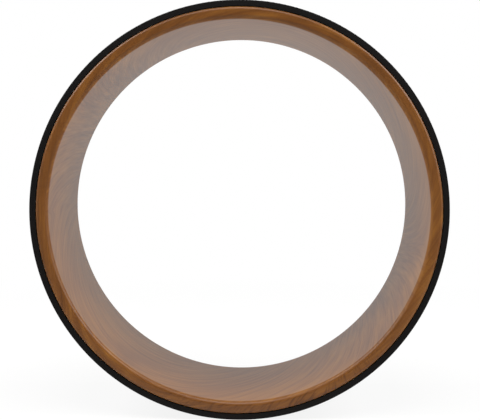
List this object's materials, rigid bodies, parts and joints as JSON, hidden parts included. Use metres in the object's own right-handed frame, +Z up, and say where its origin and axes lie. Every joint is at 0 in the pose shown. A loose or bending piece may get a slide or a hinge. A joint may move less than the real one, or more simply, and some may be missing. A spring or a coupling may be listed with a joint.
{
  "type": "yoga wheel",
  "caption": "Yoga wheel: a hollow moulded rim with a wood-grain print and rounded edges, wrapped in a black foam tread mat, for backbends, stretching and balance work.",
  "frame": {"origin": "centre of the wheel, on its axis at mid width", "axes": "+Y along the wheel's axis from the front edge to the rear edge, +Z up as the wheel stands on its tread, +X to the right as seen from the front"},
  "size_m": [0.33, 0.13, 0.33],
  "materials": {
    "rim_print": "brown wood-grain print under satin clear lacquer on moulded ABS",
    "mat_foam": "black closed-cell TPE foam, matt, finely embossed",
    "bond_tape": "double-sided acrylic tape",
    "screw_steel": "bright zinc plate"
  },
  "bodies": {
    "root": {"front_half_ring": "rim_print", "rear_half_ring": "rim_print", "front_joint_screws": "screw_steel", "rear_joint_screws": "screw_steel", "front_mat_tape": "bond_tape", "rear_mat_tape": "bond_tape", "tread_mat": "mat_foam"}
  },
  "joints": []
}
